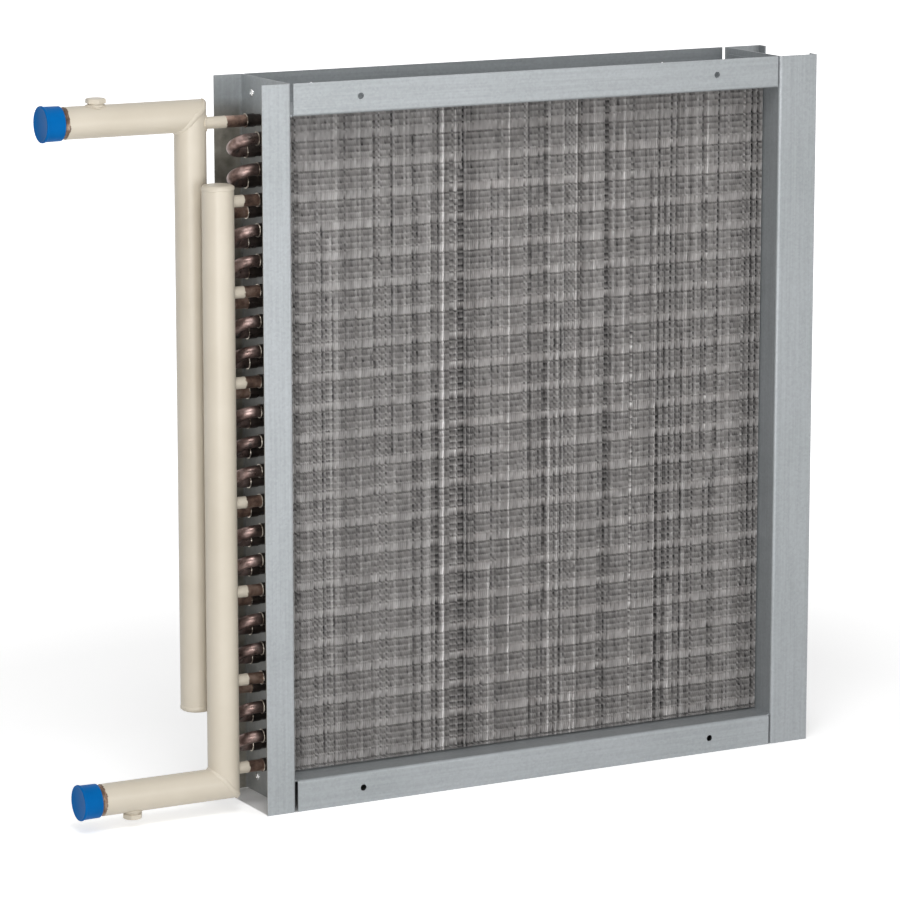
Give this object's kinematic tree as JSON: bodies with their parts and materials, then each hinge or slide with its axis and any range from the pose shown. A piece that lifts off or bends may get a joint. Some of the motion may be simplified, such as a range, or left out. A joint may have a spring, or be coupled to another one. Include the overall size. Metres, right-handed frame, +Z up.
{
  "type": "duct water heating coil",
  "caption": "Finned-tube water coil in a folded galvanised duct casing, with supply and return headers, capped pipe connections, a vent plug and a drain plug.",
  "frame": {"origin": "middle of the base of the whole object's box", "axes": "+X along the tubes, from the header side to the plain side; +Y along the air's way through the coil, away from the front face; +Z up"},
  "size_m": [0.8846, 0.1156, 0.7703],
  "materials": {
    "galvanised_sheet": "hot-dip galvanised, faint spangle",
    "fin_aluminium": "mill finish",
    "copper": "dull, brazed copper",
    "painted_steel": "soft gloss cream paint",
    "painted_washer": "soft gloss cream paint",
    "blue_plastic": "moulded polyethylene",
    "rivet_steel": "zinc-plated"
  },
  "bodies": {
    "casing": {"left_tube_sheet": "galvanised_sheet", "right_tube_sheet": "galvanised_sheet", "top_channel": "galvanised_sheet", "bottom_channel": "galvanised_sheet", "fin_pack": "fin_aluminium", "hairpin_tubes": "copper", "return_bends": "copper", "supply_stubs": "copper", "return_stubs": "copper", "supply_header": "painted_steel", "return_header": "painted_steel", "supply_pipe": "painted_steel", "return_pipe": "painted_steel", "header_end_plates": "painted_steel", "vent_and_drain_bosses": "painted_steel", "left_rivets": "rivet_steel", "right_rivets": "rivet_steel"},
    "supply_cap": {"supply_cap": "blue_plastic"},
    "return_cap": {"return_cap": "blue_plastic"},
    "vent_washer": {"vent_washer": "painted_washer"},
    "vent_plug": {"vent_plug": "painted_steel"},
    "drain_washer": {"drain_washer": "painted_washer"},
    "drain_plug": {"drain_plug": "painted_steel"}
  },
  "joints": [
    {"name": "supply_cap_pull", "type": "slide", "parent": "casing", "child": "supply_cap", "axis": [-1, 0, 0], "range_m": [0, 0.04]},
    {"name": "return_cap_pull", "type": "slide", "parent": "casing", "child": "return_cap", "axis": [-1, 0, 0], "range_m": [0, 0.04]},
    {"name": "vent_rise", "type": "slide", "parent": "casing", "child": "vent_washer", "axis": [0, 0, 1], "range_m": [0, 0.00535]},
    {"name": "vent_unscrew", "type": "hinge", "parent": "vent_washer", "child": "vent_plug", "pos_m": [-0.381, 0.01995, 0.75165], "axis": [0, 0, 1], "range_deg": [0, 1440]},
    {"name": "drain_rise", "type": "slide", "parent": "casing", "child": "drain_washer", "axis": [0, 0, -1], "range_m": [0, 0.00535]},
    {"name": "drain_unscrew", "type": "hinge", "parent": "drain_washer", "child": "drain_plug", "pos_m": [-0.369, -0.01995, 0.01385], "axis": [0, 0, -1], "range_deg": [0, 1440]}
  ],
  "couplings": [
    {"joint": "vent_unscrew", "follows": "vent_rise", "rad_per_m": 4699.5},
    {"joint": "drain_unscrew", "follows": "drain_rise", "rad_per_m": 4699.5}
  ]
}
